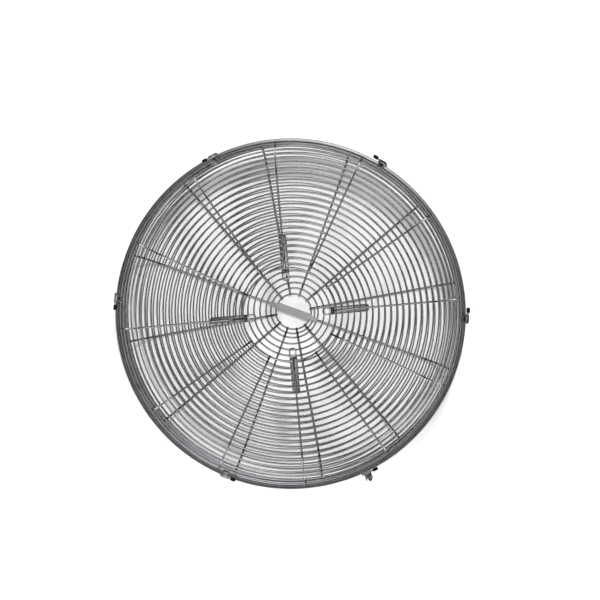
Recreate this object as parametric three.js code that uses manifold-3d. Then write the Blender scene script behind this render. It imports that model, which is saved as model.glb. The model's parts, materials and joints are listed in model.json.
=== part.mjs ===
// Wire guard cage of a wall fan, the way it lies in its photograph: on the face of its front guard.
// All lengths are millimetres and all angles degrees. +Z runs along the fan's shaft from the front
// guard to the motor side, +X is to the right and Z zero is the outer face of the front wires.
//
// Each guard is one long wire wound as a spiral over a flat face and a round shoulder, carried by
// twelve bent radial wires, a centre ring and a thick rim rod. The front guard is the deep one and
// has a side wall. The rear guard has four straps for the motor. A rolled hoop with a flared edge
// holds both rims, and six sprung clips pivoted on the hoop hook the rear rim down.
import * as THREE from 'three';
import { mergeVertices } from 'three/addons/utils/BufferGeometryUtils.js';
import Module from 'manifold-3d';

const wasm = await Module();
wasm.setup();

// Overall sizes
const cage_depth = 180;
const hoop_outer_radius = 325;
const seat_gap = 0.3;
const cut_overrun = 2;

// Wires
const spiral_wire = 2.8;
const radial_wire = 3.5;
const rim_rod = 4;
const rear_ring_wire = 3.5;
const shoulder_pieces = 6;
const wire_pitch = 11.4;
const shoulder_radius = 65;
const radial_count = 12;
const wire_sides = 6;
const rim_facets = 48;
const ring_facets = 36;

// Front guard
const front_radial_angle = 10.3;
const front_ring_radius = 33.2;
const front_start_past_ring = 6;
const front_first_pitch = 6.5;
const front_coarse_turns = [0, 9];
const front_radial_past_rod = 1;
const radial_end_inside = 1.3;

// Rear guard
const rear_radial_angle = 5.2;
const rear_ring_radius = 86;
const rear_start_past_ring = 3.6;
const rear_start_radials = -4;
const rear_coarse_turns = [1, 8];
const rear_dish_depth = 46;
const rear_rim_inside_rod_middle = 0.7;
const rear_spiral_stops_before = 5.5;

// Rolled hoop
const hoop_wall = 1.5;
const hoop_height = 28;
const flare_run = 5.7;
const flare_above_rod_middle = 0.5;
const bead_past_rod_middle = 1.9;
const bead_slope_height = 1.5;

// Badge bar across the front centre ring
const bar_length = 98;
const bar_width = 14;
const bar_wide_length = 60;
const bar_tongue_width = 8;
const bar_thickness = 1.5;
const bar_corner = 2;
const bar_radial = 5;

// Motor straps
const strap_count = 4;
const strap_width = 14;
const strap_thickness = 2.5;
const strap_outer_end = 147;
const strap_corner = 3;
const tab_inner_end = 61;
const tab_hole_circle_radius = 69.5;
const tab_hole = 8.6;
const tab_rise = 9;
const tab_slope_run = 4;
const bolt_hole_sides = 16;

// Sprung clips
const clip_angles = [-1.6, 58.5, 116.3, 175, 248, 295.5];
const clip_rest_opening = [12, 15, 0, 0, 0, 180];
const clip_sheet = 1.5;
const pin_outside_hoop = 1.5;
const pin_below_rod = 8;
const pin_diameter = 2.4;
const pin_head = 4.2;
const pin_head_thickness = 0.9;
const eye_wall = 1.1;
const ear_thickness = 1.2;
const plate_width = 22;
const plate_above_pin = 4.5;
const plate_below_pin = 11;
const rivet_head = 4;
const rivet_top = 2.7;
const rivet_height = 1;
const rivet_sunk = 0.2;
const rivet_below_pin = 8;
const rivet_spacing = 10;
const hook_width = 14;
const arch_over_flare = 2.5;
const arch_width = 4.5;
const catch_reach_down = 1.6;
const catch_slot_width = 9;
const blade_root_width = 8;
const blade_tip_width = 6;
const blade_length = 19;
const blade_pieces = 3;
const blade_off_wires = 1;
const blade_hole = 3.2;
const blade_hole_from_root = 10.7;
const stem_width = 3;
const stem_length = 9;
const grip_length = 10;
const grip_height = 11;
const grip_thickness = 5.6;
const grip_corner = 1.4;
const grip_under_stem = 1.5;

// Finishes
const bright_wire = new THREE.MeshStandardMaterial({ color: 0xc9ccd0, roughness: 0.22, metalness: 1 });
const rolled_steel = new THREE.MeshStandardMaterial({ color: 0xb4b7ba, roughness: 0.34, metalness: 1 });
const pressed_steel = new THREE.MeshStandardMaterial({ color: 0xbfc2c5, roughness: 0.3, metalness: 1 });
const brushed_bar = new THREE.MeshStandardMaterial({ color: 0xb2b4b6, roughness: 0.48, metalness: 0.9 });
const black_plastic = new THREE.MeshStandardMaterial({ color: 0x151617, roughness: 0.5, metalness: 0 });

const full_turn = 2 * Math.PI;
const quarter_turn = Math.PI / 2;
const rad = THREE.MathUtils.degToRad;
const radial_spacing = 360 / radial_count;
const steps_in_turn = 2 * radial_count;

// A four-sided wire as heavy as the round one has its flats this far from its middle.
const spiral_half = (spiral_wire / 2) * Math.sqrt(Math.PI) / 2;
// A six-sided wire or rod lies on a flat, and its flats are this share of its radius from its middle.
const hex_flat_share = Math.cos(Math.PI / wire_sides);
const radial_half = (radial_wire / 2) * hex_flat_share;
const rod_half = (rim_rod / 2) * hex_flat_share;
// The front ring is as tall as the wires beside it, so the radials lie on both.
const front_ring_wire = (2 * spiral_half) / hex_flat_share;
const radial_lift = spiral_half + seat_gap + radial_half;

// Heights, all from the resting face up
const front_wire_height = spiral_half;
const rear_wire_height = cage_depth - radial_half - radial_lift;
const rear_rod_height = rear_wire_height - rear_dish_depth;
const front_rod_height = rear_rod_height - 2 * rod_half - seat_gap;
const flare_start = rear_rod_height + flare_above_rod_middle;
const hoop_top = flare_start + flare_run;
const hoop_bottom = hoop_top - hoop_height;
const bead_top = front_rod_height - rod_half - seat_gap;
// The flare rises at 45 degrees, so its wall adds this much to its reach.
const flare_wall_reach = hoop_wall * Math.SQRT1_2;
const hoop_throat_radius = hoop_outer_radius - flare_run - flare_wall_reach;
const rod_radius_at = hoop_throat_radius - seat_gap - rim_rod / 2;
const facet_dip_share = Math.cos(Math.PI / rim_facets);
const rod_inner_face = (rod_radius_at - rim_rod / 2) * facet_dip_share;
// The front radials run up the inside of the rim rod, and the front wires lie outside the radials.
const front_wall_radius = rod_inner_face - seat_gap - radial_half + radial_lift;
const rear_rim_radius = rod_radius_at - rear_rim_inside_rod_middle;

// Joins stations into a closed tube. A station has a centre and the two directions of its section,
// and across times up points along the tube.
function sweep(stations, section, is_loop) {
  const sides = section.length;
  const vertices = [];
  const faces = [];
  for (const station of stations) {
    for (const corner of section) {
      const point = station.centre.clone();
      point.addScaledVector(station.across, corner.x);
      point.addScaledVector(station.up, corner.y);
      vertices.push(point.x, point.y, point.z);
    }
  }
  const last = is_loop ? stations.length : stations.length - 1;
  for (let i = 0; i < last; i += 1) {
    const here = i * sides;
    const next = ((i + 1) % stations.length) * sides;
    for (let j = 0; j < sides; j += 1) {
      const k = (j + 1) % sides;
      faces.push(here + j, here + k, next + k, here + j, next + k, next + j);
    }
  }
  if (!is_loop) {
    const end = (stations.length - 1) * sides;
    for (let j = 1; j < sides - 1; j += 1) {
      faces.push(0, j + 1, j, end, end + j, end + j + 1);
    }
  }
  const geometry = new THREE.BufferGeometry();
  geometry.setAttribute('position', new THREE.Float32BufferAttribute(vertices, 3));
  geometry.setIndex(faces);
  geometry.computeVertexNormals();
  return geometry;
}

// A regular section, turned so that a flat lies up or down
function evenSection(sides, radius) {
  const corners = [];
  for (let j = 0; j < sides; j += 1) {
    const turn = ((j + 0.5) / sides) * full_turn - quarter_turn;
    corners.push(new THREE.Vector2(radius * Math.cos(turn), radius * Math.sin(turn)));
  }
  return corners;
}

function squareSection(half) {
  return [[-1, -1], [1, -1], [1, 1], [-1, 1]].map(([x, y]) => new THREE.Vector2(x * half, y * half));
}

// A closed ring round the fan's axis with any section, given in radius and height
function ringOf(section, facets, start_angle) {
  const stations = [];
  for (let i = 0; i < facets; i += 1) {
    const turn = start_angle - (i / facets) * full_turn;
    stations.push({
      centre: new THREE.Vector3(),
      across: new THREE.Vector3(Math.cos(turn), Math.sin(turn), 0),
      up: new THREE.Vector3(0, 0, 1),
    });
  }
  return sweep(stations, section, true);
}

function wireRing(radius, height, wire, facets, start_angle) {
  const section = evenSection(wire_sides, wire / 2);
  section.forEach((corner) => corner.add(new THREE.Vector2(radius, height)));
  return ringOf(section, facets, start_angle);
}

// The side view of a guard. Distance is measured along the face, the shoulder and the wall. A guard
// turns up at its shoulder when its side is 1 and down when it is -1. Lift moves the point off the
// wires towards the motor side.
const front_form = {
  side: 1,
  height: front_wire_height,
  flat: front_wall_radius - shoulder_radius,
};
const rear_slope_at_rod = Math.acos((shoulder_radius - rear_dish_depth) / shoulder_radius);
const rear_form = {
  side: -1,
  height: rear_wire_height,
  flat: rear_rim_radius - shoulder_radius * Math.sin(rear_slope_at_rod),
};

function formAt(form, distance, lift) {
  const bend = THREE.MathUtils.clamp((distance - form.flat) / shoulder_radius, 0, quarter_turn);
  const wall = Math.max(distance - form.flat - shoulder_radius * quarter_turn, 0);
  const along = Math.min(distance, form.flat);
  const reach = shoulder_radius - form.side * lift;
  return {
    radius: along + reach * Math.sin(bend),
    height: form.height + form.side * (shoulder_radius - reach * Math.cos(bend) + wall),
    slope: form.side * bend,
  };
}

function stationAt(point, turn) {
  const out = new THREE.Vector3(Math.cos(turn), Math.sin(turn), 0);
  const up = new THREE.Vector3(0, 0, 1);
  const centre = out.clone().multiplyScalar(point.radius).addScaledVector(up, point.height);
  const across = out.clone().multiplyScalar(Math.cos(point.slope));
  across.addScaledVector(up, Math.sin(point.slope));
  const normal = up.clone().multiplyScalar(Math.cos(point.slope));
  normal.addScaledVector(out, -Math.sin(point.slope));
  return { centre, across, up: normal };
}

// The wound wire of one guard. It leaves the centre clockwise, has a corner at every radial and
// takes its first turn at its own pitch. The small turns in the coarse span have one step from
// radial to radial and all others two.
function spiralWire(form, start, first_pitch, start_turn, coarse_span, end) {
  const [coarse_from, coarse_to] = coarse_span;
  const stations = [];
  const half_step = 1 / steps_in_turn / 2;
  let distance = start;
  let turns = 0;
  while (distance <= end) {
    stations.push(stationAt(formAt(form, distance, 0), start_turn - turns * full_turn));
    const whole_turn = Math.floor(turns + half_step);
    const is_coarse = whole_turn >= coarse_from && whole_turn < coarse_to;
    const share = 1 / (is_coarse ? radial_count : steps_in_turn);
    distance += share * (turns < 1 ? first_pitch : wire_pitch);
    turns += share;
  }
  return { geometry: sweep(stations, squareSection(spiral_half), false), stations };
}

// Least clear space between the turns of a wound wire, measured from each corner of its path to
// every run of it that is at least half a turn away
function leastTurnGap(stations) {
  const nearest = new THREE.Vector3();
  const run = new THREE.Line3();
  const half_turn_steps = radial_count / 2;
  let least = Infinity;
  for (let i = 0; i < stations.length; i += 1) {
    for (let j = i + half_turn_steps; j + 1 < stations.length; j += 1) {
      run.set(stations[j].centre, stations[j + 1].centre);
      run.closestPointToPoint(stations[i].centre, true, nearest);
      least = Math.min(least, nearest.distanceTo(stations[i].centre) - 2 * spiral_half);
    }
  }
  return least;
}

// A radial wire lies in the plane of its own angle, as points with a radius, a height and a slope.
function radialWire(points, angle) {
  const turn = rad(angle);
  const aside = new THREE.Vector3(-Math.sin(turn), Math.cos(turn), 0);
  const stations = points.map((point) => {
    const station = stationAt(point, turn);
    return { centre: station.centre, across: aside, up: station.up };
  });
  return sweep(stations, evenSection(wire_sides, radial_wire / 2), false);
}

// Points round the shoulder, pushed out on a rear radial so that its chords clear the wires
function shoulderPoints(form, bend_end, pieces) {
  const points = [];
  const half_step_share = Math.cos(bend_end / pieces / 2);
  for (let i = 0; i <= pieces; i += 1) {
    const bend = (bend_end * i) / pieces;
    const swell = (shoulder_radius + radial_lift) * (1 / half_step_share - 1);
    const lift = form.side < 0 && i > 0 ? radial_lift + swell : radial_lift;
    points.push(formAt(form, form.flat + shoulder_radius * bend, lift));
  }
  return points;
}

const front_radial_height = front_wire_height + radial_lift;
// The last front turn stays under the foot of the hoop's bead.
const bead_foot = bead_top - 2 * hoop_wall - bead_slope_height;
const front_wall_rise = bead_foot - seat_gap - spiral_half - front_wire_height - shoulder_radius;
const front_spiral_end = front_form.flat + shoulder_radius * quarter_turn + front_wall_rise;

// A front radial: over the centre ring, along the face and up the wall to the rim rod's inner side
function frontRadialPoints() {
  const inner_end = front_ring_radius - front_ring_wire / 2 - radial_end_inside;
  const points = [{ radius: inner_end, height: front_radial_height, slope: 0 }];
  points.push(...shoulderPoints(front_form, quarter_turn, shoulder_pieces));
  const top_height = front_rod_height + front_radial_past_rod;
  points.push({ radius: front_wall_radius - radial_lift, height: top_height, slope: quarter_turn });
  return points;
}

const rear_end_height = rear_rod_height + rod_half + seat_gap + radial_half / 2;
const rear_bend_end = Math.acos(
  (rear_end_height - rear_wire_height + shoulder_radius) / (shoulder_radius + radial_lift),
);
const rear_spiral_end = rear_form.flat + shoulder_radius * rear_slope_at_rod - rear_spiral_stops_before;

// A rear radial: over the centre ring, along the face and down the shoulder to the top of the rim rod
function rearRadialPoints() {
  const inner_end = rear_ring_radius - rear_ring_wire / 2 - radial_end_inside;
  const rear_radial_height = rear_wire_height + radial_lift;
  const points = [{ radius: inner_end, height: rear_radial_height, slope: 0 }];
  points.push(...shoulderPoints(rear_form, rear_bend_end, shoulder_pieces));
  return points;
}

// The rolled hoop: a wall round both rim rods, a bead rolled inwards that the front one sits on, and
// a flared edge that guides the rear one in
function hoopGeometry() {
  const inner = hoop_throat_radius;
  const outer = inner + hoop_wall;
  const bead = rod_radius_at - bead_past_rod_middle;
  const bead_under = bead_top - hoop_wall;
  const slope_start = bead_under - bead_slope_height;
  const flare_back = flare_start - flare_wall_reach + (hoop_wall - flare_wall_reach);
  const corners = [
    [inner, hoop_bottom],
    [outer, hoop_bottom],
    [outer, slope_start],
    [bead + hoop_wall, bead_under],
    [outer, bead_under],
    [outer, flare_back],
    [hoop_outer_radius, hoop_top - flare_wall_reach],
    [inner + flare_run, hoop_top],
    [inner, flare_start],
    [inner, bead_top],
    [bead, bead_top],
    [bead, bead_under],
    [inner, slope_start - hoop_wall],
  ];
  return ringOf(corners.map(([radius, height]) => new THREE.Vector2(radius, height)), rim_facets, 0);
}

// Solids that are cut or joined go through these two.
function solidOf(geometry) {
  const bare = geometry.clone();
  bare.deleteAttribute('normal');
  bare.deleteAttribute('uv');
  const merged = mergeVertices(bare);
  return new wasm.Manifold(new wasm.Mesh({
    numProp: 3,
    vertProperties: Float32Array.from(merged.attributes.position.array),
    triVerts: Uint32Array.from(merged.index.array),
  }));
}

function geometryOf(solid) {
  const mesh = solid.getMesh();
  const geometry = new THREE.BufferGeometry();
  geometry.setAttribute('position', new THREE.BufferAttribute(mesh.vertProperties, 3));
  geometry.setIndex(new THREE.BufferAttribute(mesh.triVerts, 1));
  geometry.computeVertexNormals();
  return geometry;
}

// A flat outline given a thickness along Z, from a height up
function plate(shape, thickness, height) {
  const curve_pieces = 3;
  const settings = { depth: thickness, bevelEnabled: false, curveSegments: curve_pieces };
  return new THREE.ExtrudeGeometry(shape, settings).translate(0, 0, height);
}

// A side view outline, drawn in X and Z, given a width along Y about a middle
function sidePiece(shape, width, middle) {
  const geometry = plate(shape, width, 0);
  return geometry.rotateX(quarter_turn).translate(0, middle + width / 2, 0);
}

function shapeOf(points) {
  return new THREE.Shape(points.map(([x, y]) => new THREE.Vector2(x, y)));
}

function roundedRectangle(left, bottom, right, top, corner) {
  const shape = new THREE.Shape();
  shape.moveTo(left + corner, bottom);
  shape.lineTo(right - corner, bottom);
  shape.absarc(right - corner, bottom + corner, corner, -quarter_turn, 0);
  shape.lineTo(right, top - corner);
  shape.absarc(right - corner, top - corner, corner, 0, quarter_turn);
  shape.lineTo(left + corner, top);
  shape.absarc(left + corner, top - corner, corner, quarter_turn, Math.PI);
  shape.lineTo(left, bottom + corner);
  shape.absarc(left + corner, bottom + corner, corner, Math.PI, Math.PI + quarter_turn);
  return shape;
}

function discAlongY(radius, width, middle, sides) {
  return new THREE.CylinderGeometry(radius, radius, width, sides).translate(0, middle, 0);
}

// The plain bar that carries a badge. Its narrow tongues lie on two opposite front radials.
function badgeBarGeometry() {
  const height = front_radial_height + radial_half + seat_gap;
  const half_wide = bar_wide_length / 2;
  const half_width = bar_width / 2;
  const body = roundedRectangle(-half_wide, -half_width, half_wide, half_width, bar_corner);
  const tongue = bar_tongue_width / 2;
  const tongues = roundedRectangle(-bar_length / 2, -tongue, bar_length / 2, tongue, tongue);
  return geometryOf(
    solidOf(plate(body, bar_thickness, height)).add(solidOf(plate(tongues, bar_thickness, height))),
  );
}

// A motor strap: its side view, with the step up to the tab, cut to its plan view with the bolt hole
const rear_ring_half = (rear_ring_wire / 2) * hex_flat_share;
const rear_ring_height = rear_wire_height + spiral_half - rear_ring_half;
const strap_top = rear_ring_height - rear_ring_half - seat_gap;
const tab_top = strap_top + tab_rise;

function strapGeometry() {
  const step_start = rear_ring_radius - rear_ring_wire / 2 - radial_end_inside - seat_gap;
  const step_end = step_start - tab_slope_run;
  const strap_under = strap_top - strap_thickness;
  const tab_under = tab_top - strap_thickness;
  const rise_angle = Math.atan2(tab_rise, tab_slope_run);
  const miter = strap_thickness * Math.tan(rise_angle / 2);
  const side_view = shapeOf([
    [tab_inner_end, tab_under],
    [step_end - miter, tab_under],
    [step_start - miter, strap_under],
    [strap_outer_end, strap_under],
    [strap_outer_end, strap_top],
    [step_start, strap_top],
    [step_end, tab_top],
    [tab_inner_end, tab_top],
  ]);
  const half_width = strap_width / 2;
  const plan_view = new THREE.Shape();
  plan_view.moveTo(strap_outer_end - strap_corner, half_width);
  plan_view.lineTo(tab_inner_end + half_width, half_width);
  plan_view.absarc(tab_inner_end + half_width, 0, half_width, quarter_turn, Math.PI + quarter_turn);
  plan_view.lineTo(strap_outer_end - strap_corner, -half_width);
  plan_view.lineTo(strap_outer_end, strap_corner - half_width);
  plan_view.lineTo(strap_outer_end, half_width - strap_corner);
  const span = tab_rise + strap_thickness + 2 * cut_overrun;
  const blank = solidOf(plate(plan_view, span, strap_under - cut_overrun));
  const bent = solidOf(sidePiece(side_view, strap_width + 2 * cut_overrun, 0));
  const drill = new THREE.CylinderGeometry(tab_hole / 2, tab_hole / 2, 2 * span, bolt_hole_sides);
  drill.rotateX(quarter_turn).translate(tab_hole_circle_radius, 0, tab_top);
  return geometryOf(bent.intersect(blank).subtract(solidOf(drill)));
}

// The clip's own frame has its zero at the middle of its pin, X out from the hoop, Y round the hoop
// and Z up. These are the places of its neighbours there.
const pin_radius_at = hoop_outer_radius + pin_outside_hoop;
const pin_height = rear_rod_height - pin_below_rod;
const wall_in_clip = hoop_throat_radius + hoop_wall - pin_radius_at;
const flare_edge_in_clip = hoop_throat_radius + flare_run - pin_radius_at;
const flare_top_in_clip = hoop_top - pin_height;
const rod_top_in_clip = pin_below_rod + rod_half;
const rod_inside_in_clip = rod_inner_face - pin_radius_at;
const ear_inside = hook_width / 2 + seat_gap;
const ear_round = pin_diameter / 2 + seat_gap + eye_wall;
const pin_sides = 8;
const eye_sides = 12;

function pinBore(width) {
  return solidOf(discAlongY(pin_diameter / 2 + seat_gap, width + cut_overrun, 0, pin_sides));
}

// The bracket riveted to the hoop: a plate, two ears with pin holes and two rivet heads
function bracketGeometry() {
  const plate_back = wall_in_clip + seat_gap;
  const plate_front = plate_back + clip_sheet;
  const ear_root = plate_front - clip_sheet / 2;
  const back = solidOf(sidePiece(shapeOf([
    [plate_back, -plate_below_pin],
    [plate_front, -plate_below_pin],
    [plate_front, plate_above_pin],
    [plate_back, plate_above_pin],
  ]), plate_width, 0));
  const ear_view = new THREE.Shape();
  ear_view.moveTo(ear_root, -plate_below_pin / 2);
  ear_view.absarc(0, 0, ear_round, -quarter_turn, quarter_turn);
  ear_view.lineTo(ear_root, plate_above_pin - seat_gap);
  let bracket = back;
  for (const side of [-1, 1]) {
    const middle = side * (ear_inside + ear_thickness / 2);
    bracket = bracket.add(solidOf(sidePiece(ear_view, ear_thickness, middle)));
    const head = new THREE.CylinderGeometry(rivet_top / 2, rivet_head / 2, rivet_height, pin_sides);
    head.rotateZ(-quarter_turn);
    const head_middle = plate_front + rivet_height / 2 - rivet_sunk;
    head.translate(head_middle, (side * rivet_spacing) / 2, -rivet_below_pin);
    bracket = bracket.add(solidOf(head));
  }
  return geometryOf(bracket.subtract(pinBore(plate_width)));
}

function pinGeometry() {
  const head_inside = ear_inside + ear_thickness + seat_gap;
  const shank_length = 2 * head_inside + pin_head_thickness;
  let pin = solidOf(discAlongY(pin_diameter / 2, shank_length, 0, pin_sides));
  for (const side of [-1, 1]) {
    const middle = side * (head_inside + pin_head_thickness / 2);
    pin = pin.add(solidOf(discAlongY(pin_head / 2, pin_head_thickness, middle, pin_sides)));
  }
  return geometryOf(pin);
}

// A strip of the clip's sheet along a line of points, drawn in X and Z and mitred at its corners
function sheetAlong(line, width) {
  const points = line.map(([x, z]) => new THREE.Vector2(x, z));
  const left = [];
  const right = [];
  points.forEach((point, i) => {
    const before = points[Math.max(i - 1, 0)];
    const after = points[Math.min(i + 1, points.length - 1)];
    const arriving = (i === 0 ? after.clone().sub(point) : point.clone().sub(before)).normalize();
    const leaving = (i === points.length - 1 ? arriving : after.clone().sub(point)).clone().normalize();
    const side = new THREE.Vector2(-arriving.y - leaving.y, arriving.x + leaving.x).normalize();
    const reach = clip_sheet / 2 / Math.abs(side.dot(new THREE.Vector2(-arriving.y, arriving.x)));
    left.push(point.clone().addScaledVector(side, reach));
    right.unshift(point.clone().addScaledVector(side, -reach));
  });
  return solidOf(sidePiece(new THREE.Shape([...left, ...right]), width, 0));
}

// The arch goes over the flared edge, high enough for its slope to clear that edge as it opens.
const arch_height = flare_top_in_clip + seat_gap + arch_over_flare + clip_sheet / 2;
const seat_height = rod_top_in_clip + seat_gap + clip_sheet / 2;
const catch_face = rod_inside_in_clip - seat_gap - clip_sheet / 2;
const slope_foot = -arch_width - (arch_height - seat_height);

// The blade lies along the rear guard's shoulder, in the layer of the radials, from the place where
// that curve leaves the slope.
function bladePoint(along) {
  const centre_in_clip = rear_form.flat - pin_radius_at;
  const centre_height = rear_wire_height - shoulder_radius - pin_height;
  const reach = shoulder_radius + spiral_half + blade_off_wires + clip_sheet / 2;
  const rise_to_slope = arch_height + arch_width + centre_in_clip - centre_height;
  const root_turn = quarter_turn / 2 + Math.asin((rise_to_slope * Math.SQRT1_2) / reach);
  const turn = root_turn + along / reach;
  return [centre_in_clip + reach * Math.cos(turn), centre_height + reach * Math.sin(turn)];
}

function bladeLine() {
  const line = [];
  for (let i = 0; i <= blade_pieces; i += 1) {
    line.push(bladePoint((i / blade_pieces) * blade_length));
  }
  return line;
}

// A cutter across the blade, tapering from its root's width to its round tip
function bladeTaper(line) {
  const [, root] = line[0];
  const [far, tip] = line[line.length - 1];
  const half_root = blade_root_width / 2;
  const half_tip = blade_tip_width / 2;
  const front_view = new THREE.Shape();
  front_view.moveTo(root - cut_overrun, -half_root);
  front_view.absarc(tip - half_tip, 0, half_tip, -quarter_turn, quarter_turn);
  front_view.lineTo(root - cut_overrun, half_root);
  const reach = Math.abs(far) + cut_overrun;
  return solidOf(plate(front_view, reach, 0).rotateY(-quarter_turn));
}

function bladeSolid() {
  const line = bladeLine();
  const strip = sheetAlong(line, blade_root_width + cut_overrun);
  const [x, z] = bladePoint(blade_hole_from_root);
  const drill = new THREE.CylinderGeometry(blade_hole / 2, blade_hole / 2, blade_length, eye_sides);
  drill.rotateZ(quarter_turn).translate(x, 0, z);
  return strip.intersect(bladeTaper(line)).subtract(solidOf(drill));
}

function stemSolid(margin, end) {
  const start = hook_width / 2 - cut_overrun;
  const box = new THREE.BoxGeometry(stem_width + 2 * margin, end - start, clip_sheet + 2 * margin);
  return solidOf(box.translate(-arch_width / 2, (start + end) / 2, arch_height));
}

// The hook: a sprung strip from its eye over the hoop's edge and down to the rear rim rod. Two
// catches go behind the rod, and between them the strip is lanced and bent up as the blade.
function hookGeometry() {
  const strip = sheetAlong([
    [0, 0],
    [0, arch_height],
    [-arch_width, arch_height],
    [slope_foot, seat_height],
    [catch_face, seat_height],
    [catch_face, rod_top_in_clip - catch_reach_down],
  ], hook_width);
  const [blade_start] = bladePoint(0);
  const slot = new THREE.BoxGeometry(hook_width, catch_slot_width, 2 * arch_height);
  slot.translate(blade_start - clip_sheet - hook_width / 2, 0, 0);
  const eye = solidOf(discAlongY(ear_round, hook_width, 0, eye_sides));
  const stem = stemSolid(0, hook_width / 2 + stem_length);
  const hook = strip.subtract(solidOf(slot)).add(eye).add(bladeSolid()).add(stem);
  return geometryOf(hook.subtract(pinBore(hook_width)));
}

// The black grip pushed over the stem's end
function gripGeometry() {
  const half = grip_thickness / 2;
  const middle = -arch_width / 2;
  const bottom = arch_height - grip_under_stem - clip_sheet / 2;
  const stem_end = hook_width / 2 + stem_length + seat_gap;
  const start = stem_end - grip_length / 2;
  const view = roundedRectangle(middle - half, bottom, middle + half, bottom + grip_height, grip_corner);
  const block = solidOf(sidePiece(view, grip_length, start + grip_length / 2));
  return geometryOf(block.subtract(stemSolid(seat_gap, stem_end)));
}

const cage = new THREE.Group();

function addPiece(parent, name, geometry, material) {
  const mesh = new THREE.Mesh(geometry, material);
  mesh.name = name;
  parent.add(mesh);
  return mesh;
}

function numbered(stem, index) {
  return `${stem}_${String(index + 1).padStart(2, '0')}`;
}

function buildFrontGuard() {
  const spiral = spiralWire(
    front_form, front_ring_radius + front_start_past_ring, front_first_pitch,
    rad(front_radial_angle), front_coarse_turns, front_spiral_end,
  );
  addPiece(cage, 'front_spiral', spiral.geometry, bright_wire);
  addPiece(
    cage, 'front_centre_ring',
    wireRing(front_ring_radius, front_wire_height, front_ring_wire, ring_facets, 0), bright_wire,
  );
  addPiece(
    cage, 'front_rim_rod', wireRing(rod_radius_at, front_rod_height, rim_rod, rim_facets, 0), bright_wire,
  );
  for (let i = 0; i < radial_count; i += 1) {
    const geometry = radialWire(frontRadialPoints(), front_radial_angle + i * radial_spacing);
    addPiece(cage, numbered('front_radial', i), geometry, bright_wire);
  }
  const bar = addPiece(cage, 'badge_bar', badgeBarGeometry(), brushed_bar);
  bar.rotation.z = rad(front_radial_angle + bar_radial * radial_spacing);
  return leastTurnGap(spiral.stations);
}

function buildRearGuard() {
  const start_angle = rear_radial_angle + rear_start_radials * radial_spacing;
  const spiral = spiralWire(
    rear_form, rear_ring_radius + rear_start_past_ring, wire_pitch,
    rad(start_angle), rear_coarse_turns, rear_spiral_end,
  );
  addPiece(cage, 'rear_spiral', spiral.geometry, bright_wire);
  addPiece(
    cage, 'rear_centre_ring',
    wireRing(rear_ring_radius, rear_ring_height, rear_ring_wire, ring_facets, 0), bright_wire,
  );
  addPiece(
    cage, 'rear_rim_rod', wireRing(rod_radius_at, rear_rod_height, rim_rod, rim_facets, 0), bright_wire,
  );
  for (let i = 0; i < radial_count; i += 1) {
    const geometry = radialWire(rearRadialPoints(), rear_radial_angle + i * radial_spacing);
    addPiece(cage, numbered('rear_radial', i), geometry, bright_wire);
  }
  for (let i = 0; i < strap_count; i += 1) {
    const strap = addPiece(cage, `motor_strap_${i + 1}`, strapGeometry(), pressed_steel);
    strap.rotation.z = rad(rear_radial_angle) + (i / strap_count) * full_turn;
  }
  return leastTurnGap(spiral.stations);
}

function buildClip(index) {
  const place = new THREE.Group();
  place.rotation.z = rad(clip_angles[index]);
  const pivot = new THREE.Group();
  pivot.position.set(pin_radius_at, 0, pin_height);
  const swing = new THREE.Group();
  swing.rotation.y = rad(clip_rest_opening[index]);
  cage.add(place);
  place.add(pivot);
  pivot.add(swing);
  const name = `clip_${index + 1}`;
  addPiece(pivot, `${name}_bracket`, bracketGeometry(), pressed_steel);
  addPiece(pivot, `${name}_pin`, pinGeometry(), pressed_steel);
  addPiece(swing, `${name}_hook`, hookGeometry(), pressed_steel);
  addPiece(swing, `${name}_grip`, gripGeometry(), black_plastic);
}

const front_gap = buildFrontGuard();
const rear_gap = buildRearGuard();
addPiece(cage, 'rim_hoop', hoopGeometry(), rolled_steel);
clip_angles.forEach((angle, index) => buildClip(index));
console.log(`least gap between turns: front ${front_gap.toFixed(2)} mm, rear ${rear_gap.toFixed(2)} mm`);

export default cage;
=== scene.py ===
"""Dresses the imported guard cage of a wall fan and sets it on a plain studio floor, laid out as an
add-on: sizes and finishes in property groups, one operator for each kind of piece and one panel."""

import json
import math

import bpy
import numpy as np
from bpy.props import FloatProperty, FloatVectorProperty, IntProperty, PointerProperty
from mathutils import Matrix, Vector


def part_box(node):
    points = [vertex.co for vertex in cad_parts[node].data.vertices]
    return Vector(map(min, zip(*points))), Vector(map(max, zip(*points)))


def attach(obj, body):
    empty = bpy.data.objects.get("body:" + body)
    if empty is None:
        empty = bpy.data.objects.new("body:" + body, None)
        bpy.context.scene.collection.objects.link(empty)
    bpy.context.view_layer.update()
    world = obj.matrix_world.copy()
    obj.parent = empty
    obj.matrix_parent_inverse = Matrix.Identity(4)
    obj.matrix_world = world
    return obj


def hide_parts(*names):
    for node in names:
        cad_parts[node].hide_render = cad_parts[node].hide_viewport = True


bl_info = {
    "name": "Fan guard cage",
    "version": (1, 0, 0),
    "blender": (4, 5, 0),
    "location": "View3D > Sidebar > Guard Cage",
    "description": "Wound wire guards, rolled hoop, motor straps and sprung clips of a wall fan's cage",
    "category": "Add Mesh",
}

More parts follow.
